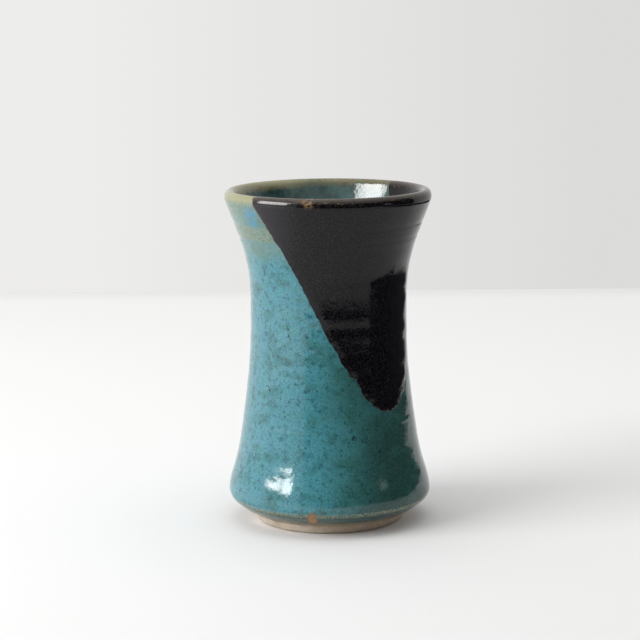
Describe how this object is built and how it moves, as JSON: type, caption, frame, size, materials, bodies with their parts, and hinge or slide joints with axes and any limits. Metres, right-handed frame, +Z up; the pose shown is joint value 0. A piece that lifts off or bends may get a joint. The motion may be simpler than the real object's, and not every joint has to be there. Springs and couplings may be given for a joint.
{
  "type": "ceramic bud vase",
  "caption": "Small thrown stoneware vase with a waisted body and flared rolled lip; stands on its trimmed foot and holds short stems in water.",
  "frame": {"origin": "centre of the foot ring, on the surface that the vase stands on", "axes": "+Z up along the axis of the wheel-thrown body; -Y is the front; the black coat reaches lowest at the front right, between -Y and +X"},
  "size_m": [0.0715, 0.0715, 0.1158],
  "materials": {
    "bare_stoneware": "matte",
    "liner_glaze": "gloss",
    "teal_glaze": "gloss",
    "black_glaze": "gloss"
  },
  "bodies": {
    "root": {"clay_body": "bare_stoneware", "liner_glaze": "liner_glaze", "outside_glaze": "teal_glaze", "black_dip_glaze": "black_glaze"}
  },
  "joints": []
}
